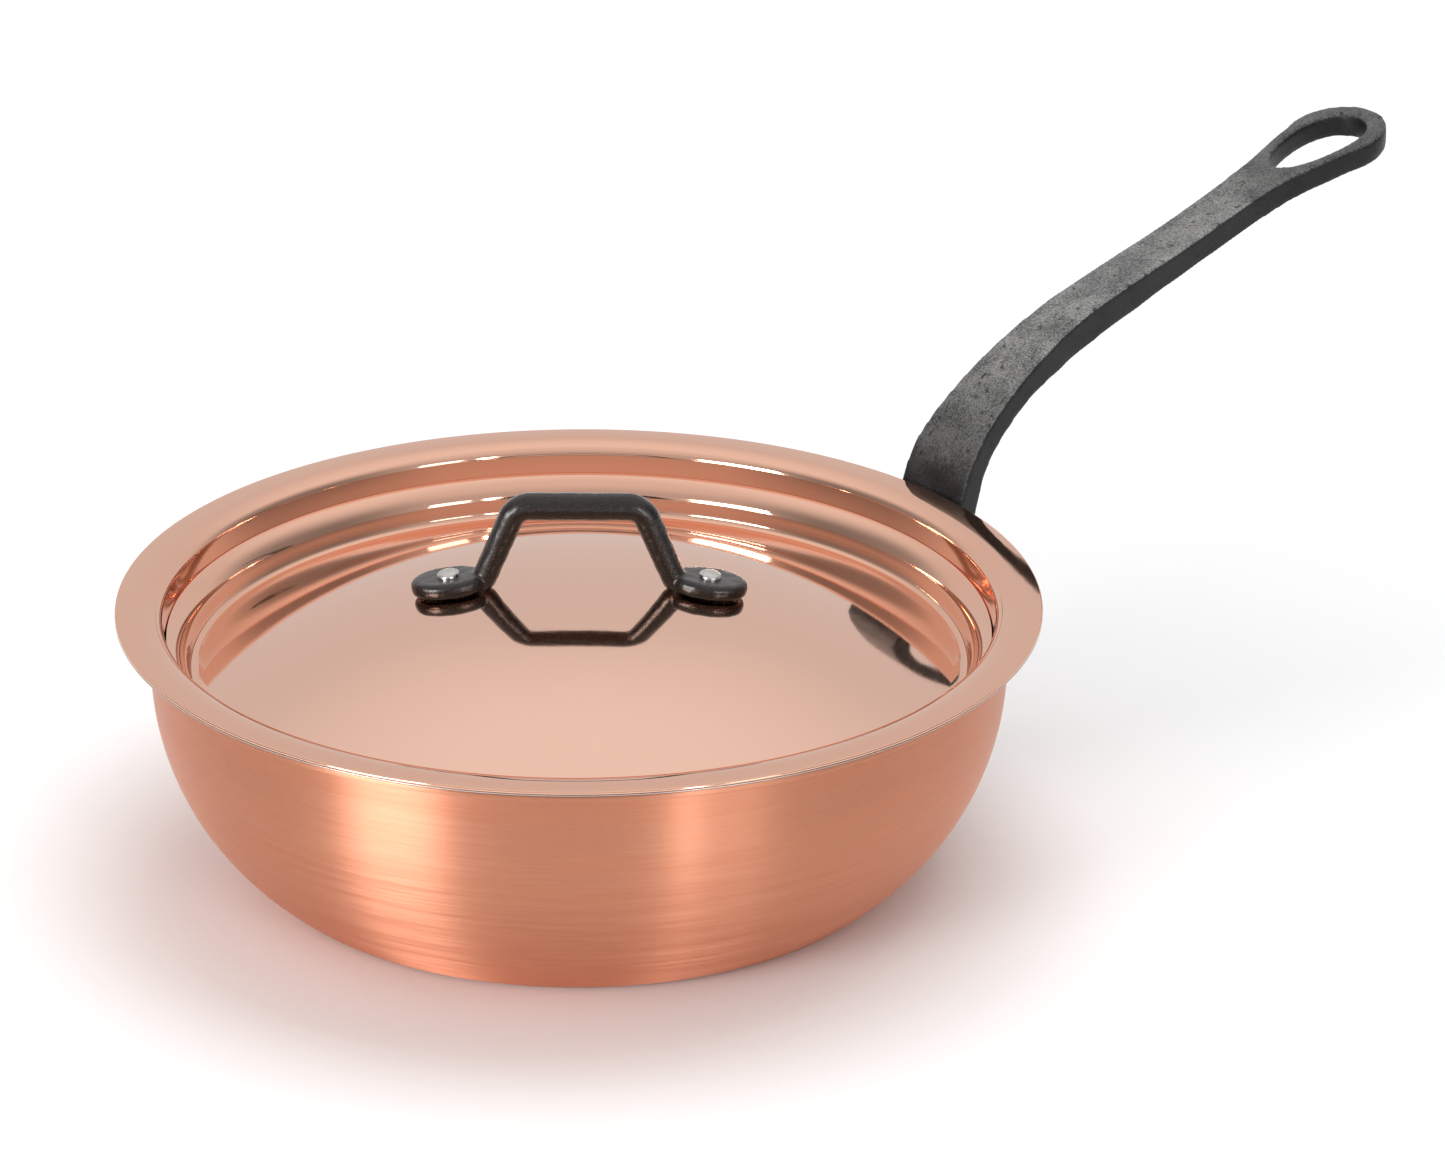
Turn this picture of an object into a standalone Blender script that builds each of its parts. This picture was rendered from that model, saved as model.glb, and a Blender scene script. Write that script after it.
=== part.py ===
"""A copper saute pan with curved sides, a long cast-iron handle and a lift-off copper lid.

Frame: metres, +Z up, origin on the pan's axis at the underside of its base, +X along the long handle.
Sizes below are in millimetres and are turned into metres where the geometry is made.
"""
import math

import bmesh
import bpy
from mathutils import Matrix, Vector

MM = 0.001
SEGMENTS = 36                 # facets around the pan and the lid
GAP = 0.3                     # clearance between two solids that touch on the real object
LAYER_GAP = 0.1               # between a copper sheet and the steel lining bonded to it
HEAD_SEAT = 0.7               # under a rivet head inside the round wall, where flat facets come closer

# Pan body, measured on its outer face
BASE_RADIUS = 85.0            # flat base
CORNER_RADIUS = 10.4          # from the base into the belly
BELLY_RADIUS = 74.3           # long curve of the side
BELLY_START = 52.4            # degrees below horizontal where the corner meets the belly
WALL_LEAN = 2.0               # degrees that the straight upper wall leans out
LIP_FILLET = 3.5              # under the poured-out lip
LIP_RADIUS = 127.5            # outer edge of the lip
PAN_COPPER = 2.0
PAN_STEEL = 0.4
RIM_TOP = 76.4

# Lid, measured on its top face; heights are from the plane of its flange
FLANGE_TOP = 78.0
FLANGE_RADIUS = 130.0
FLANGE_FLAT_RADIUS = 124.0
LID_COPPER = 0.9
LID_STEEL = 0.3
DOME_RADIUS = 107.0
DOME_RISE = (17.2, 22.5, -16.2)   # fall from the crown: terms in u^2, u^4 and u^6, u = r / DOME_RADIUS
DOME_EDGE = -19.0
SECOND_WALL = [(109.4, -18.2), (110.1, -16.6)]      # from the groove up to the ledge
LEDGE_CENTRE = (118.3, -16.9)
LEDGE_RADIUS = 8.0
FIRST_WALL = [(116.1, -8.9), (116.7, -3.5)]         # from the ledge up to the flange
FLANGE_BEND = [(118.5, -1.1), (121.0, -0.35)]

# Rivets through the pan's wall: height, and degrees around from the handle
RIVET_UPPER_HEIGHT = 60.0
RIVET_UPPER_ANGLE = 9.0
RIVET_LOWER_HEIGHT = 40.0
SHANK_RADIUS = 3.0
HEAD_RADIUS = 6.2
HEAD_HEIGHT = 2.6
HEAD_EDGE = 0.5               # upright rim of a domed head
TAIL_EDGE = 0.6               # upright rim of the peened end inside

# Long handle: the line of its top face in the XZ plane, and its half width along X
PLATE_THICKNESS = 4.5
PLATE_LOBE = 10.5             # metal around each rivet
HANDLE_TOP_LINE = [(122.5, 63.5), (127.8, 67.6), (130.7, 72.4), (132.1, 77.0), (136.4, 87.4), (145.9, 98.4),
                   (161.9, 110.3), (182.3, 120.5), (204.0, 127.4), (230.2, 134.8), (264.2, 145.8),
                   (285.0, 151.2), (308.0, 155.8)]
HANDLE_ROOT_FOOT = (120.5, 44.0)
HANDLE_THICKNESS = [(120.0, 8.0), (146.0, 7.3), (154.0, 7.3), (172.0, 8.8), (186.0, 9.4), (200.0, 9.1),
                    (215.0, 8.2), (230.0, 7.6), (265.0, 7.6), (308.0, 7.4)]
HANDLE_HALF_WIDTHS = [(116.0, 13.7), (132.0, 13.2), (146.0, 11.3), (162.0, 9.9), (182.0, 8.7), (204.0, 8.3),
                      (230.0, 8.1), (250.0, 8.2), (264.0, 9.3), (272.0, 11.0), (279.5, 12.8)]
LOOP_CENTRE = 292.6
LOOP_RADIUS = 15.4
SIDE_HALF_DEPTH = 16.0        # the side outline is pushed this far to both sides
PLAN_HALF_DEPTH = 90.0        # and the plan outline this far up and down
PLATE_OUTLINE_REACH = 20.0
LOOP_HOLE = [(266.5, 0.0), (269.5, 5.0), (276.0, 8.2), (284.0, 9.9), (291.0, 10.2), (297.0, 8.6), (301.4, 5.0),
             (303.0, 0.0)]

# Lid handle, along the direction LID_HANDLE_TURN from +X
LID_HANDLE_TURN = -40.1       # degrees
GRIP_HALF_LENGTH = 17.6
GRIP_HEIGHT = 28.2            # centre of the grip above the flange plane
LEG_FOOT = (26.6, 6.6)        # where a leg reaches its foot: distance from the axis, height
GRIP_BEND = 6.0
GRIP_THICKNESS = 7.8
FOOT_CENTRE = 36.0
FOOT_HALF_LENGTH = 10.8
FOOT_HALF_WIDTH = 8.0
FOOT_THICKNESS = 4.4
FOOT_EDGE = 1.2
FOOT_SEAT = 0.5               # from the dome to the flat underside of a foot, at its centre
LID_SHANK_RADIUS = 2.2
LID_HEAD_RADIUS = 3.2
LID_HEAD_HEIGHT = 1.6


def clear_scene():
    for thing in list(bpy.data.objects):
        bpy.data.objects.remove(thing, do_unlink=True)


def new_collection(name):
    collection = bpy.data.collections.new(name)
    bpy.context.scene.collection.children.link(collection)
    return collection


def new_material(name, colour, roughness, metallic=1.0):
    material = bpy.data.materials.new(name)
    material.use_nodes = True
    shader = material.node_tree.nodes["Principled BSDF"]
    shader.inputs["Base Color"].default_value = (*colour, 1.0)
    shader.inputs["Roughness"].default_value = roughness
    shader.inputs["Metallic"].default_value = metallic
    return material


def add_object(name, data, collection, material=None):
    thing = bpy.data.objects.new(name, data)
    collection.objects.link(thing)
    if material:
        data.materials.append(material)
    return thing


def arc(centre, radius, start, end, steps):
    """Points on an arc in the XZ plane, angles in degrees from +X."""
    points = []
    for step in range(steps + 1):
        angle = math.radians(start + (end - start) * step / steps)
        points.append((centre[0] + radius * math.cos(angle), centre[1] + radius * math.sin(angle)))
    return points


def smooth_line(points, steps):
    """A Catmull-Rom curve through the points, with steps pieces between two of them."""
    line = []
    last = len(points) - 1
    for index in range(last):
        before = Vector(points[max(index - 1, 0)])
        start = Vector(points[index])
        end = Vector(points[index + 1])
        after = Vector(points[min(index + 2, last)])
        for step in range(steps):
            t = step / steps
            point = (2 * start + (end - before) * t + (2 * before - 5 * start + 4 * end - after) * t * t
                     + (3 * start - before - 3 * end + after) * t ** 3) / 2
            line.append(tuple(point))
    line.append(tuple(points[last]))
    return line


def turned(name, profile, collection, material=None, segments=SEGMENTS, closed=False):
    """A solid of revolution: the profile runs down its outer side, in (radius, height) millimetres."""
    mesh = bpy.data.meshes.new(name)
    vertices = [(radius * MM, 0.0, height * MM) for radius, height in profile]
    edges = [(index, index + 1) for index in range(len(profile) - 1)]
    if closed:
        edges.append((len(profile) - 1, 0))
    mesh.from_pydata(vertices, edges, [])
    thing = add_object(name, mesh, collection, material)
    screw = thing.modifiers.new("turn", "SCREW")
    screw.steps = segments
    screw.render_steps = segments
    screw.use_merge_vertices = True
    screw.merge_threshold = 0.00001
    return thing


def flat_solid(name, outlines, half_depth, collection):
    """A flat outline, with any holes, as a slab in its own XY plane."""
    curve = bpy.data.curves.new(name, "CURVE")
    curve.dimensions = "2D"
    curve.fill_mode = "BOTH"
    curve.extrude = half_depth * MM
    for outline in outlines:
        spline = curve.splines.new("POLY")
        spline.points.add(len(outline) - 1)
        for point, (x, y) in zip(spline.points, outline):
            point.co = (x * MM, y * MM, 0.0, 1.0)
        spline.use_cyclic_u = True
    return add_object(name, curve, collection)


def curve_to_mesh(thing, collection, material=None):
    """Replaces a curve object by a closed mesh object in the same place."""
    bpy.context.view_layer.update()
    evaluated = thing.evaluated_get(bpy.context.evaluated_depsgraph_get())
    mesh = bpy.data.meshes.new_from_object(evaluated)
    shape = bmesh.new()
    shape.from_mesh(mesh)
    bmesh.ops.remove_doubles(shape, verts=shape.verts, dist=0.00001)
    bmesh.ops.recalc_face_normals(shape, faces=shape.faces)
    shape.to_mesh(mesh)
    shape.free()
    name = thing.name
    place = thing.matrix_world.copy()
    bpy.data.objects.remove(thing, do_unlink=True)
    solid = add_object(name, mesh, collection, material)
    solid.matrix_world = place
    return solid


def as_cutter(thing):
    thing.hide_render = True
    thing.display_type = "WIRE"
    return thing


def combine(thing, other, operation):
    boolean = thing.modifiers.new(operation.lower(), "BOOLEAN")
    boolean.operation = operation
    boolean.object = other
    boolean.solver = "EXACT"


def shade_round(thing, angle=35.0):
    thing.data.shade_smooth()
    thing.data.set_sharp_from_angle(angle=math.radians(angle))


# ---------------------------------------------------------------- pan body

def pan_line(inset):
    """The body's face from the axis to the lip's edge, at a depth inset under its outer face."""
    corner = (BASE_RADIUS, CORNER_RADIUS)
    reach = BELLY_RADIUS - CORNER_RADIUS
    turn = math.radians(BELLY_START)
    belly = (corner[0] - reach * math.cos(turn), corner[1] + reach * math.sin(turn))
    lean = math.radians(WALL_LEAN)
    line = [(0.0, inset)]
    line += arc(corner, CORNER_RADIUS - inset, -90.0, -BELLY_START, 3)
    line += arc(belly, BELLY_RADIUS - inset, -BELLY_START, -WALL_LEAN, 7)[1:]
    lip_under = RIM_TOP - PAN_COPPER - LAYER_GAP - PAN_STEEL
    wall_top = lip_under - LIP_FILLET * (1 - math.sin(lean))
    wall_foot = (belly[0] + BELLY_RADIUS * math.cos(lean), belly[1] - BELLY_RADIUS * math.sin(lean))
    wall_radius = wall_foot[0] + (wall_top - wall_foot[1]) * math.tan(lean)
    lip_centre = (wall_radius + LIP_FILLET * math.cos(lean), lip_under - LIP_FILLET)
    line += arc(lip_centre, LIP_FILLET + inset, 180.0 - WALL_LEAN, 90.0, 3)
    line.append((LIP_RADIUS - 0.3 * inset, lip_under + inset))
    return line


def pan_wall(height):
    """Radius of the body's outer face at a height, and the tilt of its normal below horizontal."""
    turn = math.radians(BELLY_START)
    reach = BELLY_RADIUS - CORNER_RADIUS
    belly = (BASE_RADIUS - reach * math.cos(turn), CORNER_RADIUS + reach * math.sin(turn))
    lean = math.radians(WALL_LEAN)
    foot_height = belly[1] - BELLY_RADIUS * math.sin(lean)
    if height >= foot_height:
        foot_radius = belly[0] + BELLY_RADIUS * math.cos(lean)
        return foot_radius + (height - foot_height) * math.tan(lean), lean
    tilt = math.asin((belly[1] - height) / BELLY_RADIUS)
    return belly[0] + BELLY_RADIUS * math.cos(tilt), tilt


def rivet_places():
    """Angle around the pan, height, for each rivet of the long handle."""
    return [(RIVET_UPPER_ANGLE, RIVET_UPPER_HEIGHT), (-RIVET_UPPER_ANGLE, RIVET_UPPER_HEIGHT),
            (0.0, RIVET_LOWER_HEIGHT)]


def rivet_matrix(angle, height):
    """Places +Z along the wall's outward normal, with the origin on the wall's outer face."""
    radius, tilt = pan_wall(height)
    turn = Matrix.Rotation(math.radians(angle), 4, "Z")
    lay = Matrix.Rotation(math.pi / 2 + tilt, 4, "Y")
    return turn @ Matrix.Translation((radius * MM, 0.0, height * MM)) @ lay


def make_drill(name, radius, length, matrix, cutters):
    bpy.ops.mesh.primitive_cylinder_add(vertices=16, radius=radius * MM, depth=length * MM)
    drill = bpy.context.object
    drill.name = name
    for collection in list(drill.users_collection):
        collection.objects.unlink(drill)
    cutters.objects.link(drill)
    drill.matrix_world = matrix
    return as_cutter(drill)


def make_pan_layer(name, outer, inner, parts, material, drills):
    profile = pan_line(inner) + list(reversed(pan_line(outer)))
    layer = turned(name, profile, parts, material)
    for drill in drills:
        combine(layer, drill, "DIFFERENCE")
    return layer


def rivet_profile(head_base, tail_base, head_radius, head_height, tail_radius, shank_radius):
    """A domed head above head_base, a shank, and a flatter peened tail below tail_base."""
    profile = [(0.0, head_base + head_height)]
    profile += [(head_radius * math.sin(math.radians(angle)),
                 head_base + HEAD_EDGE + (head_height - HEAD_EDGE) * math.cos(math.radians(angle)))
                for angle in (30, 60, 90)]
    profile += [(head_radius, head_base), (shank_radius, head_base), (shank_radius, tail_base)]
    profile += [(tail_radius, tail_base), (tail_radius, tail_base - TAIL_EDGE)]
    # the peened end is a low dome, a little flatter than the head
    profile += [(0.6 * tail_radius, tail_base - 0.75 * head_height), (0.0, tail_base - 0.85 * head_height)]
    return profile


def make_pan_rivets(parts, material):
    wall = PAN_COPPER + LAYER_GAP + PAN_STEEL
    outside = GAP + PLATE_THICKNESS + GAP
    for number, (angle, height) in enumerate(rivet_places(), start=1):
        profile = rivet_profile(outside, -(wall + HEAD_SEAT), HEAD_RADIUS - 0.4, HEAD_HEIGHT, HEAD_RADIUS,
                                SHANK_RADIUS)
        rivet = turned(f"pan_rivet_{number}", profile, parts, material, segments=16)
        rivet.matrix_world = rivet_matrix(angle, height)
        shade_round(rivet)


# ---------------------------------------------------------------- long handle

def rounded_triangle(centres, radius):
    """The outline of a cord pulled round three equal circles, given counter-clockwise."""
    outline = []
    count = len(centres)
    for index in range(count):
        before = Vector(centres[index - 1])
        here = Vector(centres[index])
        after = Vector(centres[(index + 1) % count])
        start = math.degrees(math.atan2(*reversed(here - before))) - 90.0
        end = math.degrees(math.atan2(*reversed(after - here))) - 90.0
        if end < start:
            end += 360.0
        outline += arc(tuple(here), radius, start, end, 5)
    return outline


def make_plate(cutters):
    """The riveting plate: a ring that fits the pan's wall, kept inside a three-lobed outline."""
    low = RIVET_LOWER_HEIGHT - PLATE_LOBE - 2.0
    high = RIVET_UPPER_HEIGHT + PLATE_LOBE
    steps = 9
    inner = []
    outer = []
    for step in range(steps + 1):
        height = low + (high - low) * step / steps
        radius, tilt = pan_wall(height)
        inner.append((radius + GAP * math.cos(tilt), height - GAP * math.sin(tilt)))
        depth = GAP + PLATE_THICKNESS
        outer.append((radius + depth * math.cos(tilt), height - depth * math.sin(tilt)))
    plate = turned("handle_plate", list(reversed(outer)) + inner, cutters, closed=True)
    upper_y = pan_wall(RIVET_UPPER_HEIGHT)[0] * math.sin(math.radians(RIVET_UPPER_ANGLE))
    centres = [(0.0, RIVET_LOWER_HEIGHT), (upper_y, RIVET_UPPER_HEIGHT), (-upper_y, RIVET_UPPER_HEIGHT)]
    outline = flat_solid("plate_outline", [rounded_triangle(centres, PLATE_LOBE)],
                         PLATE_OUTLINE_REACH, cutters)
    # local X, Y and Z of the outline become +Y, +Z and +X
    outline.matrix_world = Matrix.Translation((120.0 * MM, 0.0, 0.0)) @ Matrix(
        ((0.0, 0.0, 1.0, 0.0), (1.0, 0.0, 0.0, 0.0), (0.0, 1.0, 0.0, 0.0), (0.0, 0.0, 0.0, 1.0)))
    outline = as_cutter(curve_to_mesh(outline, cutters))
    combine(plate, outline, "INTERSECT")
    return as_cutter(plate)


def between(table, x):
    """The second number of a table of pairs, read off smoothly at the first number x."""
    for (start, low), (end, high) in zip(table, table[1:]):
        if x <= end:
            share = max(x - start, 0.0) / (end - start)
            return low + (high - low) * share * share * (3.0 - 2.0 * share)
    return table[-1][1]


def underside(line):
    """The top line moved down by the handle's thickness, which swells behind the root."""
    result = []
    last = len(line) - 1
    for index, point in enumerate(line):
        before = Vector(line[max(index - 1, 0)])
        after = Vector(line[min(index + 1, last)])
        along = (after - before).normalized()
        thickness = between(HANDLE_THICKNESS, point[0])
        result.append((point[0] + along.y * thickness, point[1] - along.x * thickness))
    return result


def handle_side_outline():
    top = smooth_line(HANDLE_TOP_LINE, 3)
    bottom = underside(top)
    # below the lip the two faces part, so that the root spreads into the plate
    bottom = [point for point in bottom if point[1] > 66.0 or point[0] > 150.0]
    root = smooth_line([HANDLE_ROOT_FOOT, (127.6, 50.0), (135.0, 59.0), bottom[0]], 3)[:-1]
    return top + list(reversed(bottom)) + list(reversed(root))


def handle_plan_outlines():
    side = smooth_line(HANDLE_HALF_WIDTHS, 3)
    tip = arc((LOOP_CENTRE, 0.0), LOOP_RADIUS, 115.0, -115.0, 16)
    outer = side + tip + [(x, -y) for x, y in reversed(side)]
    half_hole = smooth_line(LOOP_HOLE, 3)
    hole = half_hole + [(x, -y) for x, y in reversed(half_hole[1:-1])]
    return [outer, hole]


def make_handle(parts, cutters, material, drills):
    handle = flat_solid("pan_handle", [handle_side_outline()], SIDE_HALF_DEPTH, parts)
    # the side outline stands in the XZ plane
    handle.matrix_world = Matrix.Rotation(math.pi / 2, 4, "X")
    handle = curve_to_mesh(handle, parts, material)
    plan = flat_solid("handle_plan", handle_plan_outlines(), PLAN_HALF_DEPTH, cutters)
    plan.matrix_world = Matrix.Translation((0.0, 0.0, 100.0 * MM))
    plan = as_cutter(curve_to_mesh(plan, cutters))
    combine(handle, plan, "INTERSECT")
    combine(handle, make_plate(cutters), "UNION")
    for drill in drills:
        combine(handle, drill, "DIFFERENCE")
    return handle


# ---------------------------------------------------------------- lid

def dome_height(radius):
    u = radius / DOME_RADIUS
    square, fourth, sixth = DOME_RISE
    return DOME_EDGE + sum(DOME_RISE) - (square * u ** 2 + fourth * u ** 4 + sixth * u ** 6)


def dome_slope(radius):
    u = radius / DOME_RADIUS
    square, fourth, sixth = DOME_RISE
    return (2 * square * u + 4 * fourth * u ** 3 + 6 * sixth * u ** 5) / DOME_RADIUS


def lid_top_line():
    """The lid's top face from the axis out to the flange's edge, heights from the flange plane."""
    line = [(DOME_RADIUS * share, dome_height(DOME_RADIUS * share)) for share in (0, 0.2, 0.4, 0.6, 0.75, 0.9, 1.0)]
    line += SECOND_WALL
    line += arc(LEDGE_CENTRE, LEDGE_RADIUS, 168.0, 108.0, 3)
    line += FIRST_WALL + FLANGE_BEND + [(FLANGE_FLAT_RADIUS, 0.0), (FLANGE_RADIUS, 0.0)]
    return line


def inset_line(line, depth):
    """The line moved down and inwards by depth along its normals."""
    result = []
    last = len(line) - 1
    for index, point in enumerate(line):
        before = Vector(line[max(index - 1, 0)])
        after = Vector(line[min(index + 1, last)])
        here = Vector(point)
        normals = []
        for start, end in ((before, here), (here, after)):
            along = end - start
            if along.length > 0.001:
                along.normalize()
                normals.append(Vector((along.y, -along.x)))
        normal = sum(normals, Vector((0.0, 0.0))).normalized()
        stretch = depth / max(normal.dot(normals[0]), 0.6)
        result.append((max(point[0] + normal.x * stretch, 0.0), point[1] + normal.y * stretch))
    result[0] = (0.0, line[0][1] - depth)
    return result


def make_lid_layer(name, top, bottom, parts, material, drills):
    line = lid_top_line()
    upper = inset_line(line, top) if top else line
    lower = inset_line(line, bottom)
    profile = [(radius, FLANGE_TOP + height) for radius, height in upper + list(reversed(lower))]
    layer = turned(name, profile, parts, material)
    for drill in drills:
        combine(layer, drill, "DIFFERENCE")
    return layer


def lid_foot_matrix(side):
    """+Z along the dome's normal at a foot's centre, +X outwards along the handle."""
    turn = Matrix.Rotation(math.radians(LID_HANDLE_TURN + (0.0 if side > 0 else 180.0)), 4, "Z")
    height = FLANGE_TOP + dome_height(FOOT_CENTRE)
    tilt = Matrix.Rotation(math.atan(dome_slope(FOOT_CENTRE)), 4, "Y")
    return turn @ Matrix.Translation((FOOT_CENTRE * MM, 0.0, height * MM)) @ tilt


def make_lid_handle(parts, cutters, material, drills):
    """A bent bar with two oval feet, cast in one piece."""
    bar = bpy.data.curves.new("lid_handle", "CURVE")
    bar.dimensions = "3D"
    bar.bevel_depth = GRIP_THICKNESS / 2 * MM
    bar.bevel_resolution = 3
    bar.use_fill_caps = True
    lean = math.degrees(math.atan2(GRIP_HEIGHT - LEG_FOOT[1], LEG_FOOT[0] - GRIP_HALF_LENGTH))
    corner_reach = GRIP_BEND * math.tan(math.radians(lean / 2))
    centre = (GRIP_HALF_LENGTH - corner_reach, GRIP_HEIGHT - GRIP_BEND)
    half = [LEG_FOOT] + arc(centre, GRIP_BEND, 90.0 - lean, 90.0, 5)
    line = half + [(-x, z) for x, z in reversed(half)]
    spline = bar.splines.new("POLY")
    spline.points.add(len(line) - 1)
    for point, (x, z) in zip(spline.points, line):
        point.co = (x * MM, 0.0, (FLANGE_TOP + z) * MM, 1.0)
    handle = add_object("lid_handle", bar, parts)
    handle.matrix_world = Matrix.Rotation(math.radians(LID_HANDLE_TURN), 4, "Z")
    handle = curve_to_mesh(handle, parts, material)
    for side in (1, -1):
        bpy.ops.mesh.primitive_cylinder_add(vertices=24, radius=1.0, depth=1.0)
        foot = bpy.context.object
        foot.name = f"lid_foot_{side}"
        for collection in list(foot.users_collection):
            collection.objects.unlink(foot)
        cutters.objects.link(foot)
        foot.data.transform(Matrix.Diagonal((FOOT_HALF_LENGTH * MM, FOOT_HALF_WIDTH * MM,
                                             FOOT_THICKNESS * MM, 1.0)))
        rise = (FOOT_SEAT + FOOT_THICKNESS / 2) * MM
        foot.matrix_world = lid_foot_matrix(side) @ Matrix.Translation((0.0, 0.0, rise))
        bevel = foot.modifiers.new("edge", "BEVEL")
        bevel.width = FOOT_EDGE * MM
        bevel.segments = 2
        combine(handle, as_cutter(foot), "UNION")
    for drill in drills:
        combine(handle, drill, "DIFFERENCE")
    return handle


def make_lid_rivets(parts, material):
    sheet = LID_COPPER + LAYER_GAP + LID_STEEL
    head_base = FOOT_SEAT + FOOT_THICKNESS + GAP
    for number, side in enumerate((1, -1), start=1):
        profile = rivet_profile(head_base, -(sheet + HEAD_SEAT), LID_HEAD_RADIUS, LID_HEAD_HEIGHT,
                                LID_HEAD_RADIUS + 0.6, LID_SHANK_RADIUS)
        rivet = turned(f"lid_rivet_{number}", profile, parts, material, segments=16)
        rivet.matrix_world = lid_foot_matrix(side)
        shade_round(rivet)


# ---------------------------------------------------------------- assembly

clear_scene()
parts = new_collection("saute_pan_with_lid")
cutters = new_collection("cutters")

brushed_copper = new_material("brushed_copper", (0.88, 0.45, 0.28), 0.32)
polished_copper = new_material("polished_copper", (0.93, 0.55, 0.40), 0.06)
steel = new_material("satin_steel", (0.62, 0.60, 0.57), 0.30)
cast_iron = new_material("cast_iron", (0.06, 0.06, 0.06), 0.55, 0.6)
rivet_steel = new_material("rivet_steel", (0.70, 0.68, 0.65), 0.25)

pan_drills = [make_drill(f"pan_drill_{number}", SHANK_RADIUS + GAP, 30.0, rivet_matrix(angle, height), cutters)
              for number, (angle, height) in enumerate(rivet_places(), start=1)]
steel_top = PAN_COPPER + LAYER_GAP
pan_shell = make_pan_layer("pan_copper_shell", 0.0, PAN_COPPER, parts, brushed_copper, pan_drills)
pan_lining = make_pan_layer("pan_steel_lining", steel_top, steel_top + PAN_STEEL, parts, steel, pan_drills)
pan_handle = make_handle(parts, cutters, cast_iron, pan_drills)
make_pan_rivets(parts, rivet_steel)

lid_drills = [make_drill(f"lid_drill_{number}", LID_SHANK_RADIUS + GAP, 20.0, lid_foot_matrix(side), cutters)
              for number, side in enumerate((1, -1), start=1)]
lid_shell = make_lid_layer("lid_copper_shell", 0.0, LID_COPPER, parts, polished_copper, lid_drills)
lid_lining = make_lid_layer("lid_steel_lining", LID_COPPER + LAYER_GAP, LID_COPPER + LAYER_GAP + LID_STEEL,
                            parts, steel, lid_drills)
lid_handle = make_lid_handle(parts, cutters, cast_iron, lid_drills)
make_lid_rivets(parts, rivet_steel)

for thing in (pan_shell, pan_lining, lid_shell, lid_lining, pan_handle, lid_handle):
    shade_round(thing)
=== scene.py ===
# %% [markdown]
# # A copper saute pan with its lid, finished in Blender
#
# The pan's engineering model gives every piece its place and size. This lesson dresses it: each piece is
# modelled again finely over the engineering solid, gets a finish built from shader nodes, and is put back on
# the body it moves with. The last cells set up the studio.

# %% Load the frame
import math

import bpy
from mathutils import Matrix, Vector


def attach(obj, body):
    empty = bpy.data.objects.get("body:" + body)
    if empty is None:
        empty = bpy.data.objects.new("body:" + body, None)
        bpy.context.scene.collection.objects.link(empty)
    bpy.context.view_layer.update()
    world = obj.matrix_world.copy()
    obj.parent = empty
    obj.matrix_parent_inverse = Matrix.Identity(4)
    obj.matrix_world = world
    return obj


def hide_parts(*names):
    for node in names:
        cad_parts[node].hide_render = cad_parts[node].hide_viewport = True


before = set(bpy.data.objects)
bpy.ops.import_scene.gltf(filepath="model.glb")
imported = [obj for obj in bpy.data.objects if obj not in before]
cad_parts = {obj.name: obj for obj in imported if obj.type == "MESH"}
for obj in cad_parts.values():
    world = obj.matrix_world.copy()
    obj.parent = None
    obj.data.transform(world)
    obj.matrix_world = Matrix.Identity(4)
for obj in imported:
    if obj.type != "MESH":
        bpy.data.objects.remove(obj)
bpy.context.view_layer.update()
MM = 0.001

# %% [markdown]
# ## The camera
#
# The pan is seen from a standing cook's height with a long lens, so its circles stay nearly true ellipses.
# The camera is placed first, because the lights are set out from it: left and right, near and far all mean
# "as the camera sees it". A small helper says that: it turns an angle around the pan and a height above the
# table into a direction.

# %% Camera
VIEW_PITCH = 22.85            # degrees the camera looks down
VIEW_AZIMUTH = 49.92          # degrees from +X, on the table, that it looks along
CAMERA_PLACE = (-1.1544, -1.4342, 0.8604)
CAMERA_LENS = 177.66
CAMERA_ROLL = 0.205

bpy.ops.object.select_all(action="DESELECT")
bpy.ops.object.camera_add(location=CAMERA_PLACE)
camera = bpy.context.object
camera.name = "studio_camera"
camera.data.lens = CAMERA_LENS
camera.data.clip_start = 0.01
camera.rotation_euler = (
    Matrix.Rotation(math.radians(VIEW_AZIMUTH - 90.0), 3, "Z")
    @ Matrix.Rotation(math.radians(90.0 - VIEW_PITCH), 3, "X")
    @ Matrix.Rotation(math.radians(CAMERA_ROLL), 3, "Z")
).to_euler()
bpy.context.scene.camera = camera


def studio_direction(around, height):
    """A direction: degrees around from the camera's side (positive to its right), degrees above the table."""
    turn = math.radians(VIEW_AZIMUTH + 180.0 + around)
    rise = math.radians(height)
    return Vector((math.cos(turn) * math.cos(rise), math.sin(turn) * math.cos(rise), math.sin(rise)))


print("camera", [round(value, 3) for value in camera.location], "lens", camera.data.lens)

# %% [markdown]
# ## Drawing lines and turning them
#
# Most of the pan was spun on a lathe, so most pieces are made the same way here: one vertex is extruded along
# a profile, and a Screw modifier without any rise turns the profile once around the axis. Arcs and smooth
# curves are worked out by functions, so the profile can be as fine as the polish needs. A mirror finish shows
# any kink in its surface.

# %% Helpers for profiles
MERGE = 1e-6


def arc(centre, radius, start, end, steps):
    """Points on an arc, angles in degrees from +X."""
    points = []
    for step in range(steps + 1):
        angle = math.radians(start + (end - start) * step / steps)
        points.append((centre[0] + radius * math.cos(angle), centre[1] + radius * math.sin(angle)))
    return points


def smooth_line(points, steps):
    """A Catmull-Rom curve through the points, with steps pieces between two of them."""
    line = []
    last = len(points) - 1
    for index in range(last):
        before, start = Vector(points[max(index - 1, 0)]), Vector(points[index])
        end, after = Vector(points[index + 1]), Vector(points[min(index + 2, last)])
        square = 2 * before - 5 * start + 4 * end - after
        cubic = 3 * start - before - 3 * end + after
        for step in range(steps):
            t = step / steps
            line.append(tuple((2 * start + (end - before) * t + square * t * t + cubic * t ** 3) / 2))
    line.append(tuple(points[last]))
    return line


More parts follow.
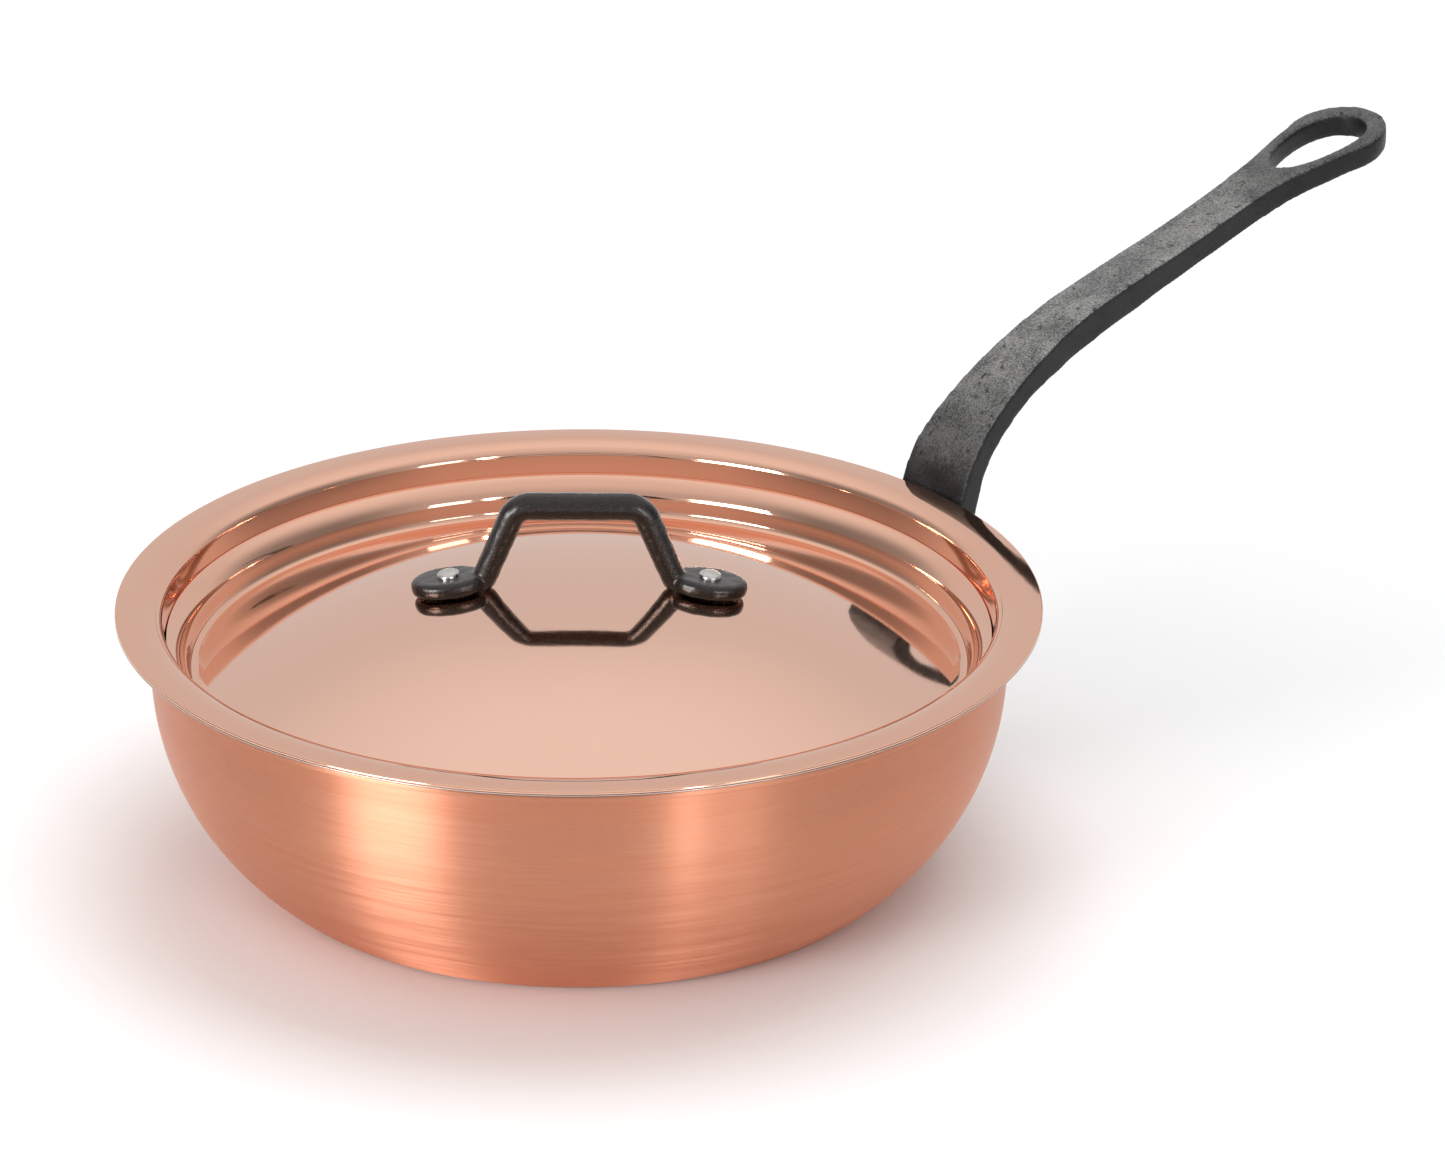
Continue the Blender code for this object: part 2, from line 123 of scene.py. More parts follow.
def offset_line(line, depth):
    """The line moved to its right-hand side by a depth, or by a depth for each point."""
    result = []
    last = len(line) - 1
    for index, point in enumerate(line):
        before, after = Vector(line[max(index - 1, 0)]), Vector(line[min(index + 1, last)])
        along = (after - before).normalized()
        here = depth[index] if isinstance(depth, list) else depth
        result.append((point[0] + along.y * here, point[1] - along.x * here))
    return result


def draw(name, points):
    """A chain of edges through 3-D points given in millimetres, left in edit mode."""
    bpy.ops.object.select_all(action="DESELECT")
    bpy.ops.mesh.primitive_plane_add(size=MM)
    thing = bpy.context.object
    thing.name = name
    bpy.ops.object.mode_set(mode="EDIT")
    bpy.ops.mesh.merge(type="CENTER")
    bpy.ops.transform.translate(value=Vector(points[0]) * MM)
    for start, end in zip(points, points[1:]):
        bpy.ops.mesh.extrude_region_move(
            TRANSFORM_OT_translate={"value": (Vector(end) - Vector(start)) * MM})
    return thing


def apply_modifiers(thing):
    bpy.context.view_layer.objects.active = thing
    for modifier in list(thing.modifiers):
        bpy.ops.object.modifier_apply(modifier=modifier.name)


def turn_profile(name, profile, steps):
    """A closed profile in (radius, height) millimetres, screwed once around the axis into a solid."""
    loop = profile if profile[0][0] == 0.0 else profile + [profile[0]]
    thing = draw(name, [(radius, 0.0, height) for radius, height in loop])
    bpy.ops.object.mode_set(mode="OBJECT")
    lathe = thing.modifiers.new("lathe", "SCREW")
    lathe.steps = lathe.render_steps = steps
    lathe.use_merge_vertices = True
    lathe.merge_threshold = MERGE
    apply_modifiers(thing)
    bpy.ops.object.mode_set(mode="EDIT")
    bpy.ops.mesh.select_all(action="SELECT")
    bpy.ops.mesh.normals_make_consistent(inside=False)
    bpy.ops.object.mode_set(mode="OBJECT")
    return thing


def shade(thing, angle=30.0):
    bpy.ops.object.select_all(action="DESELECT")
    thing.select_set(True)
    bpy.context.view_layer.objects.active = thing
    bpy.ops.object.shade_smooth_by_angle(angle=math.radians(angle))


def report_piece(thing):
    low = [min(vertex.co[axis] for vertex in thing.data.vertices) * 1000 for axis in range(3)]
    high = [max(vertex.co[axis] for vertex in thing.data.vertices) * 1000 for axis in range(3)]
    print(thing.name, len(thing.data.polygons), "faces, from", [round(v, 1) for v in low],
          "to", [round(v, 1) for v in high], "mm")


# %% [markdown]
# ## The pan's body
#
# The body is a bonded sheet: copper outside, a thin steel lining inside, whose edge shows as the grey line
# around the rim. Its side is one long curve from the base to a nearly upright wall, which ends in a lip
# turned outwards for pouring. The two sheets are turned one by one and lie a hair apart, so that they never
# cross.

# %% Body sheets
BODY_STEPS = 288
BASE_RADIUS = 85.0
CORNER_RADIUS = 10.4
BELLY_RADIUS = 74.3
BELLY_START = 52.4
WALL_LEAN = 2.0
LIP_FILLET = 3.5
LIP_RADIUS = 127.5
LIP_UNDERSIDE = 73.9
RIM_TOP = 76.4
COPPER_SHEET = 2.0
STEEL_SHEET = 0.4
RIM_STEEL = 0.95              # the lining is rolled thicker over the rim
SHEET_GAP = 0.03
RIM_ROUND = 0.35
LINING_SET_BACK = 0.1         # of the lining's edge behind the copper's


def body_line(inset, lip_height):
    """The body's face at a depth under its outer side, up to the lip at a height."""
    corner = (BASE_RADIUS, CORNER_RADIUS)
    reach = BELLY_RADIUS - CORNER_RADIUS
    turn = math.radians(BELLY_START)
    belly = (corner[0] - reach * math.cos(turn), corner[1] + reach * math.sin(turn))
    lean = math.radians(WALL_LEAN)
    wall_foot = (belly[0] + BELLY_RADIUS * math.cos(lean), belly[1] - BELLY_RADIUS * math.sin(lean))
    wall_top = LIP_UNDERSIDE - LIP_FILLET * (1 - math.sin(lean))
    wall_radius = wall_foot[0] + (wall_top - wall_foot[1]) * math.tan(lean)
    fillet = LIP_FILLET + inset
    lip_centre = (wall_radius + LIP_FILLET * math.cos(lean), lip_height - fillet)
    line = [(0.0, inset), (BASE_RADIUS * 0.5, inset), (BASE_RADIUS * 0.95, inset)]
    line += arc(corner, CORNER_RADIUS - inset, -90.0, -BELLY_START, 10)
    line += arc(belly, BELLY_RADIUS - inset, -BELLY_START, -WALL_LEAN, 44)[1:]
    line += arc(lip_centre, fillet, 180.0 - WALL_LEAN, 90.0, 12)
    line.append((LIP_RADIUS - RIM_ROUND, lip_height))
    return line


def closed_shell(outer, inner, edge_radius):
    """Two faces of a sheet joined at the rim with rounded corners."""
    low, high = outer[-1][1], inner[-1][1]
    round_off = min(RIM_ROUND, (high - low) / 2 - 0.01)
    edge = arc((edge_radius - round_off, low + round_off), round_off, -90.0, 0.0, 4)
    edge += arc((edge_radius - round_off, high - round_off), round_off, 0.0, 90.0, 4)
    return outer[:-1] + edge + list(reversed(inner[:-1]))


rim_join = RIM_TOP - RIM_STEEL
copper_outer = body_line(0.0, LIP_UNDERSIDE)
copper_inner = body_line(COPPER_SHEET, rim_join)
body_copper = turn_profile("body_copper", closed_shell(copper_outer, copper_inner, LIP_RADIUS), BODY_STEPS)
lining_outer = body_line(COPPER_SHEET + SHEET_GAP, rim_join + SHEET_GAP)
lining_inner = body_line(COPPER_SHEET + SHEET_GAP + STEEL_SHEET, RIM_TOP)
lining_shell = closed_shell(lining_outer, lining_inner, LIP_RADIUS - LINING_SET_BACK)
body_lining = turn_profile("body_lining", lining_shell, BODY_STEPS)
for piece in (body_copper, body_lining):
    shade(piece)
    report_piece(piece)

# %% [markdown]
# ## The lid
#
# The lid is pressed from copper sheet with a thin steel lining, and its top is polished. From its edge
# inwards it has a flat flange, a first wall that drops into the pan, a rounded ledge, a second wall and a
# groove, and then a shallow dome.
# Polished metal shows its neighbours, so these small steps make all the light and dark rings. The profile is
# drawn from the middle outwards, and the same line moved down gives the lower face and the lining.

# %% Lid sheets
LID_STEPS = 320
FLANGE_TOP = 78.0
FLANGE_RADIUS = 130.0
FLANGE_FLAT = 124.0
LID_COPPER = 0.9
LID_STEEL = 0.3
DOME_RADIUS = 107.0
DOME_STEPS = 60
DOME_RISE = (17.2, 22.5, -16.2)   # fall towards the edge, with the 2nd, 4th and 6th power of the radius
DOME_EDGE = -19.0
GROOVE_LINE = [(106.9, -19.0), (108.4, -18.9), (109.5, -18.2), (110.0, -17.0)]
LEDGE_CENTRE = (118.1, -16.0)
LEDGE_ROUND = 8.0
FIRST_WALL = [(115.95, -8.9), (116.3, -6.2)]
SHOULDER_CENTRE = (119.7, -3.7)
SHOULDER_ROUND = 3.0
FLANGE_ROUND = 14.0


def dome_height(radius):
    """Height of the dome at a radius, from the flange's top."""
    u = radius / DOME_RADIUS
    square, fourth, sixth = DOME_RISE
    return DOME_EDGE + sum(DOME_RISE) - (square * u ** 2 + fourth * u ** 4 + sixth * u ** 6)


def dome_slope(radius):
    """How steeply the dome falls at a radius."""
    u = radius / DOME_RADIUS
    square, fourth, sixth = DOME_RISE
    return (2 * square * u + 4 * fourth * u ** 3 + 6 * sixth * u ** 5) / DOME_RADIUS


def lid_line():
    """The lid's top face from the axis to the flange, heights from the flange's top."""
    dome_radii = [DOME_RADIUS * step / DOME_STEPS for step in range(DOME_STEPS)]
    line = [(radius, dome_height(radius)) for radius in dome_radii]
    line += smooth_line(GROOVE_LINE, 5)
    line += arc(LEDGE_CENTRE, LEDGE_ROUND, 173.0, 107.0, 14)
    line += FIRST_WALL
    line += arc(SHOULDER_CENTRE, SHOULDER_ROUND, 172.0, 113.0, 9)
    line += arc((FLANGE_FLAT, -FLANGE_ROUND), FLANGE_ROUND, 113.0, 90.0, 8)
    line.append((FLANGE_RADIUS, 0.0))
    return line


def lid_sheet(name, top, bottom):
    line = lid_line()
    upper = offset_line(line, top) if top else line
    lower = offset_line(line, bottom)
    upper[0], lower[0] = (0.0, upper[0][1]), (0.0, lower[0][1])
    half = (bottom - top) / 2
    edge = arc((FLANGE_RADIUS - half, -top - half), half, 90.0, -90.0, 8)
    profile = upper[:-1] + edge + list(reversed(lower[:-1]))
    sheet = turn_profile(name, [(radius, FLANGE_TOP + height) for radius, height in profile], LID_STEPS)
    shade(sheet, 40.0)
    report_piece(sheet)
    return sheet


lid_copper = lid_sheet("lid_copper", 0.0, LID_COPPER)
lid_lining = lid_sheet("lid_lining", LID_COPPER + SHEET_GAP, LID_COPPER + SHEET_GAP + LID_STEEL)

# %% [markdown]
# ## The long handle
#
# The handle is one iron casting: a flat bar that rises steeply beside the rim, bends outwards, narrows, and
# ends in a loop to hang it by. Below the rim it spreads into a plate with three rivets. The bar is where
# two outlines cross: its side view pushed through sideways, and its plan pushed through from above. The plate
# is a short spin that follows the pan's wall, cut to its three-lobed outline. The pieces are then joined and
# remeshed into one skin, which smoothing rounds at the edges like a casting.

# %% Outline slabs
PLATE_THICKNESS = 4.5
PLATE_LOBE = 10.5
WALL_GAP = 0.1
RIVET_UPPER = (60.0, 9.0)     # height, degrees around from the handle
RIVET_LOWER = (40.0, 0.0)
HANDLE_TOP_LINE = [(122.5, 63.5), (127.8, 67.6), (130.7, 72.4), (132.1, 77.0), (136.4, 87.4), (145.9, 98.4),
                   (161.9, 110.3), (182.3, 120.5), (204.0, 127.4), (230.2, 134.8), (264.2, 145.8),
                   (285.0, 151.2), (308.0, 155.8)]
HANDLE_ROOT = [(120.5, 44.0), (127.6, 50.0), (135.0, 59.0)]
HANDLE_THICKNESS = [(120.0, 8.0), (146.0, 7.3), (154.0, 7.3), (172.0, 8.8), (186.0, 9.4), (200.0, 9.1),
                    (215.0, 8.2), (230.0, 7.6), (265.0, 7.6), (308.0, 7.4)]
HANDLE_HALF_WIDTHS = [(116.0, 13.7), (132.0, 13.2), (146.0, 11.3), (162.0, 9.9), (182.0, 8.7), (204.0, 8.3),
                      (230.0, 8.1), (250.0, 8.2), (264.0, 9.3), (272.0, 11.0), (279.5, 12.8)]
LOOP_CENTRE = 292.6
LOOP_RADIUS = 15.4
LOOP_HOLE = [(267.5, 0.0), (270.3, 4.6), (276.4, 7.8), (284.0, 9.5), (291.0, 9.7), (297.0, 8.1), (300.8, 4.6),
             (302.2, 0.0)]
OUTLINE_STEPS = 8
SIDE_HALF_DEPTH = 16.0        # the side view is pushed this far to both sides
PLAN_FOOT = 20.0              # the plan is pushed up from this height
PLAN_PUSH = 160.0             # by this much
LOOP_TURN = 115.0             # degrees from +X where the loop's round tip begins
ROOT_TOP = 66.0               # the underside is kept where it is above this height
ROOT_END = 150.0              # or beyond this X


def slab(name, outline, push):
    """A flat outline of 3-D points filled and pushed through, so that it is a solid."""
    thing = draw(name, outline)
    bpy.ops.mesh.select_all(action="SELECT")
    bpy.ops.mesh.edge_face_add()
    bpy.ops.mesh.extrude_region_move(TRANSFORM_OT_translate={"value": Vector(push) * MM})
    bpy.ops.mesh.select_all(action="SELECT")
    bpy.ops.mesh.normals_make_consistent(inside=False)
    bpy.ops.object.mode_set(mode="OBJECT")
    return thing


def cut(thing, tool, operation):
    """Combines thing with tool and throws the tool away."""
    step = thing.modifiers.new(operation.lower(), "BOOLEAN")
    step.operation = operation
    step.object = tool
    apply_modifiers(thing)
    bpy.data.objects.remove(tool, do_unlink=True)


def between(table, x):
    """The second number of a table of pairs, read off smoothly at the first number x."""
    for (start, low), (end, high) in zip(table, table[1:]):
        if x <= end:
            share = max(x - start, 0.0) / (end - start)
            return low + (high - low) * share * share * (3.0 - 2.0 * share)
    return table[-1][1]


def handle_side():
    """The side outline: the top, the underside, and the root that spreads into the plate."""
    top = smooth_line(HANDLE_TOP_LINE, OUTLINE_STEPS)
    bottom = offset_line(top, [between(HANDLE_THICKNESS, x) for x, _ in top])
    bottom = [point for point in bottom if point[1] > ROOT_TOP or point[0] > ROOT_END]
    foot = smooth_line(HANDLE_ROOT + [bottom[0]], OUTLINE_STEPS)[:-1]
    return top + list(reversed(bottom)) + list(reversed(foot))


side = smooth_line(HANDLE_HALF_WIDTHS, OUTLINE_STEPS)
tip = arc((LOOP_CENTRE, 0.0), LOOP_RADIUS, LOOP_TURN, -LOOP_TURN, 40)
plan = side + tip + [(x, -y) for x, y in reversed(side)]
half_hole = smooth_line(LOOP_HOLE, OUTLINE_STEPS)
hole = half_hole + [(x, -y) for x, y in reversed(half_hole[1:-1])]
side_view = [(x, -SIDE_HALF_DEPTH, z) for x, z in handle_side()]
long_handle = slab("long_handle", side_view, (0.0, 2 * SIDE_HALF_DEPTH, 0.0))
for tool_name, outline, operation in (("plan_tool", plan, "INTERSECT"), ("hole_tool", hole, "DIFFERENCE")):
    tool = slab(tool_name, [(x, y, PLAN_FOOT) for x, y in outline], (0.0, 0.0, PLAN_PUSH))
    cut(long_handle, tool, operation)
report_piece(long_handle)

# %% [markdown]
# The riveting plate lies on the wall, so its inner face is the wall's own curve. A thick profile of the wall
# is spun only a little way round, turned back by half of that, and cut to the outline of a cord pulled round
# three circles, one for each rivet.

# %% Riveting plate
PLATE_SWEEP = 24.0            # degrees around the pan
PLATE_SWEEP_STEPS = 24
PLATE_PROFILE_STEPS = 44      # heights in the plate's profile, a millimetre apart
PLATE_FOOT_SPARE = 2.0        # below the lowest lobe
LOBE_TOOL_PLACE = 100.0       # the lobed outline is pushed outwards from this X
LOBE_TOOL_PUSH = 40.0


def wall_at(height):
    """Radius of the body's outer face at a height, and how far its normal tilts below horizontal."""
    turn = math.radians(BELLY_START)
    reach = BELLY_RADIUS - CORNER_RADIUS
    belly = (BASE_RADIUS - reach * math.cos(turn), CORNER_RADIUS + reach * math.sin(turn))
    lean = math.radians(WALL_LEAN)
    foot_height = belly[1] - BELLY_RADIUS * math.sin(lean)
    if height >= foot_height:
        return belly[0] + BELLY_RADIUS * math.cos(lean) + (height - foot_height) * math.tan(lean), lean
    tilt = math.asin((belly[1] - height) / BELLY_RADIUS)
    return belly[0] + BELLY_RADIUS * math.cos(tilt), tilt


def lobed_outline(centres, radius):
    """The outline of a cord pulled round equal circles, given counter-clockwise."""
    outline = []
    for index, centre in enumerate(centres):
        here = Vector(centre)
        before, after = Vector(centres[index - 1]), Vector(centres[(index + 1) % len(centres)])
        start = math.degrees(math.atan2(*reversed(here - before))) - 90.0
        end = math.degrees(math.atan2(*reversed(after - here))) - 90.0
        outline += arc(centre, radius, start, end + (360.0 if end < start else 0.0), 16)
    return outline


plate_low = RIVET_LOWER[0] - PLATE_LOBE - PLATE_FOOT_SPARE
plate_heights = [plate_low + 1.0 * step for step in range(PLATE_PROFILE_STEPS)]
plate_inner, plate_outer = [], []
for height in plate_heights:
    radius, tilt = wall_at(height)
    for depth, line in ((WALL_GAP, plate_inner), (WALL_GAP + PLATE_THICKNESS, plate_outer)):
        line.append((radius + depth * math.cos(tilt), height - depth * math.sin(tilt)))
plate = draw("plate", [(r, 0.0, z) for r, z in plate_outer + list(reversed(plate_inner))])
bpy.ops.mesh.select_all(action="SELECT")
bpy.ops.mesh.edge_face_add()
bpy.ops.mesh.spin(steps=PLATE_SWEEP_STEPS, angle=math.radians(PLATE_SWEEP), center=(0, 0, 0), axis=(0, 0, 1))
bpy.ops.mesh.select_all(action="SELECT")
bpy.ops.mesh.normals_make_consistent(inside=False)
bpy.ops.object.mode_set(mode="OBJECT")
plate.rotation_euler.z = math.radians(PLATE_SWEEP / 2)
bpy.ops.object.transform_apply(location=False, rotation=True, scale=False)
upper_y = wall_at(RIVET_UPPER[0])[0] * math.sin(math.radians(RIVET_UPPER[1]))
rivet_centres = [(0.0, RIVET_LOWER[0]), (upper_y, RIVET_UPPER[0]), (-upper_y, RIVET_UPPER[0])]
lobes = [(LOBE_TOOL_PLACE, y, z) for y, z in lobed_outline(rivet_centres, PLATE_LOBE)]
cut(plate, slab("lobe_tool", lobes, (LOBE_TOOL_PUSH, 0.0, 0.0)), "INTERSECT")
report_piece(plate)

# %% [markdown]
# Joined, the bar and the plate are two solids that run through each other. A voxel remesh makes one skin of
# them, and a few rounds of smoothing wear its edges down by about a millimetre, with more rounds at the loop.
# A faint displacement gives the uneven surface that sand leaves on iron.

# %% One casting


def join(target, others):
    """Makes the others part of target."""
    bpy.ops.object.select_all(action="DESELECT")
    for thing in [target] + others:
        thing.select_set(True)
    bpy.context.view_layer.objects.active = target
    bpy.ops.object.join()


def cast(thing, voxel, rounds, lump_size, lump_height, rounder=None):
    """One rounded skin with the slight lumps of a casting; sizes in millimetres.

    rounder is (rounds, X where they begin, X where they are full), for an end that is worn more.
    """
    skin = thing.modifiers.new("skin", "REMESH")
    skin.mode = "VOXEL"
    skin.voxel_size = voxel * MM
    wear = thing.modifiers.new("wear", "SMOOTH")
    wear.factor = 0.5
    wear.iterations = rounds
    apply_modifiers(thing)
    if rounder:
        group = thing.vertex_groups.new(name="rounder")
        more, begin, full = rounder
        for vertex in thing.data.vertices:
            share = (vertex.co.x / MM - begin) / (full - begin)
            group.add([vertex.index], min(max(share, 0.0), 1.0), "REPLACE")
        wear = thing.modifiers.new("round_end", "SMOOTH")
        wear.factor = 0.5
        wear.iterations = more
        wear.vertex_group = group.name
    lumps = thing.modifiers.new("lumps", "DISPLACE")
    lumps.texture = bpy.data.textures.new(thing.name + "_lumps", "CLOUDS")
    lumps.texture.noise_scale = lump_size * MM
    lumps.texture.noise_depth = 2
    lumps.texture_coords = "LOCAL"
    lumps.strength = lump_height * MM
    apply_modifiers(thing)
    shade(thing, 60.0)
    report_piece(thing)


join(long_handle, [plate])
cast(long_handle, voxel=0.5, rounds=12, lump_size=6.0, lump_height=0.1, rounder=(34, 258.0, 272.0))

# %% [markdown]
# ## The lid's handle
#
# A round bar bent twice, with a flat oval foot at each end, cast in one. The bar is a drawn line turned into
# a curve with a round section, thinner in the legs than in the grip. The feet are flattened discs with
# rounded edges, tilted to lie on the dome. A remesh joins them, and the smoothing leaves the fillets where
# bar and feet meet.

# %% Lid handle
LID_HANDLE_TURN = -40.1       # degrees from +X
GRIP_HALF_LENGTH = 17.6
GRIP_HEIGHT = 28.2            # centre of the grip above the flange
GRIP_MIDDLE = 4.0
GRIP_BEND = 6.0
GRIP_THICKNESS = 8.0
LEG_FOOT = (26.6, 6.6)        # distance from the axis and height where a leg turns into its foot
LEG_ENDS = [(30.5, 4.6), (28.2, 5.0)]
LEG_THICKNESS = 7.2
THINNING = (14.0, 8.0)        # distance from the axis where the bar starts to thin, and over what length
FOOT_CENTRE = 36.0
FOOT_SIZE = (10.8, 8.0, 4.6)  # half length, half width, thickness
FOOT_EDGE = 1.7
FOOT_RISE = 0.35


def foot_matrix(side):
    """Origin on the dome under a foot, +Z along the dome's normal, +X outwards along the handle."""
    turn = Matrix.Rotation(math.radians(LID_HANDLE_TURN + (0.0 if side > 0 else 180.0)), 4, "Z")
    height = FLANGE_TOP + dome_height(FOOT_CENTRE)
    tilt = Matrix.Rotation(math.atan(dome_slope(FOOT_CENTRE)), 4, "Y")
    return turn @ Matrix.Translation((FOOT_CENTRE * MM, 0.0, height * MM)) @ tilt


lean = math.degrees(math.atan2(GRIP_HEIGHT - LEG_FOOT[1], LEG_FOOT[0] - GRIP_HALF_LENGTH))
bend_centre = (GRIP_HALF_LENGTH - GRIP_BEND * math.tan(math.radians(lean / 2)), GRIP_HEIGHT - GRIP_BEND)
half_bar = LEG_ENDS + [LEG_FOOT] + arc(bend_centre, GRIP_BEND, 90.0 - lean, 90.0, 10)
half_bar.append((GRIP_MIDDLE, GRIP_HEIGHT))
bar_line = half_bar + [(-x, z) for x, z in reversed(half_bar)]
lid_grip = draw("lid_grip", [(x, 0.0, FLANGE_TOP + z) for x, z in bar_line])
bpy.ops.object.mode_set(mode="OBJECT")
bpy.ops.object.convert(target="CURVE")
lid_grip.data.bevel_depth = GRIP_THICKNESS / 2 * MM
lid_grip.data.bevel_resolution = 6
lid_grip.data.use_fill_caps = True
for bar_point in lid_grip.data.splines[0].points:
    leg = min(max((abs(bar_point.co.x) / MM - THINNING[0]) / THINNING[1], 0.0), 1.0)
    bar_point.radius = 1.0 + (LEG_THICKNESS / GRIP_THICKNESS - 1.0) * leg
bpy.ops.object.convert(target="MESH")
lid_grip.data.transform(Matrix.Rotation(math.radians(LID_HANDLE_TURN), 4, "Z"))
feet = []
for side in (1, -1):
    bpy.ops.object.select_all(action="DESELECT")
    bpy.ops.mesh.primitive_cylinder_add(vertices=64, radius=1.0, depth=1.0)
    foot = bpy.context.object
    foot.name = f"foot_{side}"
    foot.data.transform(Matrix.Diagonal((*(size * MM for size in FOOT_SIZE), 1.0)))
    rounded = foot.modifiers.new("edge", "BEVEL")
    rounded.width = FOOT_EDGE * MM
    rounded.segments = 5
    apply_modifiers(foot)
    rise = Matrix.Translation((0.0, 0.0, (FOOT_RISE + FOOT_SIZE[2] / 2) * MM))
    foot.data.transform(foot_matrix(side) @ rise)
    feet.append(foot)
join(lid_grip, feet)
cast(lid_grip, voxel=0.36, rounds=9, lump_size=3.5, lump_height=0.28)

# %% [markdown]
# ## Rivets
#
# Each rivet is a short pin with a domed head outside and a flatter peened head inside. One of each size is
# turned at the origin, copied with its own mesh, and laid along the normal of the wall or the dome.

# %% Rivets
RIVET_STEPS = 48
HEAD_EDGE = 0.5               # upright rim of a head, and of a peened end
PEEN_SHARE = 0.45             # height of the peened end as a share of the head's
HANDLE_SEAT = 0.3             # a handle rivet's head starts this far beyond the plate's thickness
LINING_SEAT = 0.1             # a peened end starts this far beyond the two sheets' thickness
HANDLE_RIVET = {"head_radius": 5.8, "head_height": 2.6, "tail_radius": 6.2, "shank_radius": 3.0}
FOOT_RIVET = {"head_radius": 3.2, "head_height": 1.7, "tail_radius": 3.8, "shank_radius": 2.2}


def rivet_profile(head_base, tail_base, head_radius, head_height, tail_radius, shank_radius):
    """Domed head above head_base, shank, and flat peened tail below tail_base."""
    line = []
    for angle in range(0, 91, 9):
        turn = math.radians(angle)
        line.append((head_radius * math.sin(turn),
                     head_base + HEAD_EDGE + (head_height - HEAD_EDGE) * math.cos(turn)))
    line += [(head_radius, head_base), (shank_radius, head_base), (shank_radius, tail_base)]
    line += [(tail_radius, tail_base), (tail_radius, tail_base - HEAD_EDGE)]
    for angle in range(15, 90, 15):
        turn = math.radians(angle)
        line.append((tail_radius * math.cos(turn),
                     tail_base - HEAD_EDGE - PEEN_SHARE * head_height * math.sin(turn)))
    line.append((0.0, tail_base - HEAD_EDGE - PEEN_SHARE * head_height))
    return line


def lay_rivets(prefix, profile, places):
    """One rivet turned at the origin and laid as a copy with its own mesh at each place."""
    first = turn_profile(prefix, profile, RIVET_STEPS)
    rivets = []
    for number, place in enumerate(places, start=1):
        rivet = first.copy()
        rivet.data = first.data.copy()
        rivet.name = f"{prefix}_{number}"
        bpy.context.scene.collection.objects.link(rivet)
        rivet.data.transform(place)
        shade(rivet, 40.0)
        rivets.append(rivet)
        report_piece(rivet)
    bpy.data.objects.remove(first, do_unlink=True)
    return rivets


def wall_matrix(height, angle):
    """+Z along the wall's outward normal, origin on the wall's outer face."""
    radius, tilt = wall_at(height)
    turn = Matrix.Rotation(math.radians(angle), 4, "Z")
    lay = Matrix.Rotation(math.pi / 2 + tilt, 4, "Y")
    return turn @ Matrix.Translation((radius * MM, 0.0, height * MM)) @ lay


body_sheet = COPPER_SHEET + STEEL_SHEET
lid_thickness = LID_COPPER + LID_STEEL
wall_profile = rivet_profile(PLATE_THICKNESS + HANDLE_SEAT, -(body_sheet + LINING_SEAT), **HANDLE_RIVET)
wall_places = [wall_matrix(*RIVET_UPPER), wall_matrix(RIVET_UPPER[0], -RIVET_UPPER[1]),
               wall_matrix(*RIVET_LOWER)]
handle_rivets = lay_rivets("handle_rivet", wall_profile, wall_places)
foot_profile = rivet_profile(FOOT_RISE + FOOT_SIZE[2], -(lid_thickness + LINING_SEAT), **FOOT_RIVET)
lid_rivets = lay_rivets("foot_rivet", foot_profile, [foot_matrix(1), foot_matrix(-1)])

# %% [markdown]
# ## Writing materials as sums
#
# A finish is a small graph of nodes. To keep it readable, one class wraps a node's output so that Python's
# own +, -, *, / and ** add Math nodes, and one method adds any other node from its type, its settings and its
# inputs.

# %% Node helpers


class Value:
    """A number or colour that a node gives, which arithmetic works on."""

    def __init__(self, tree, socket):
        self.tree = tree
        self.socket = socket

    def do(self, operation, *others):
        return self.tree.node("ShaderNodeMath", {"operation": operation},
                              dict(enumerate((self, *others))))

    def __add__(self, other):
        return self.do("ADD", other)

    def __sub__(self, other):
        return self.do("SUBTRACT", other)

    def __mul__(self, other):
        return self.do("MULTIPLY", other)

    def __truediv__(self, other):
        return self.do("DIVIDE", other)

    def __pow__(self, other):
        return self.do("POWER", other)

    def __rsub__(self, other):
        return self.do("MULTIPLY", -1.0).do("ADD", other)

    __radd__ = __add__


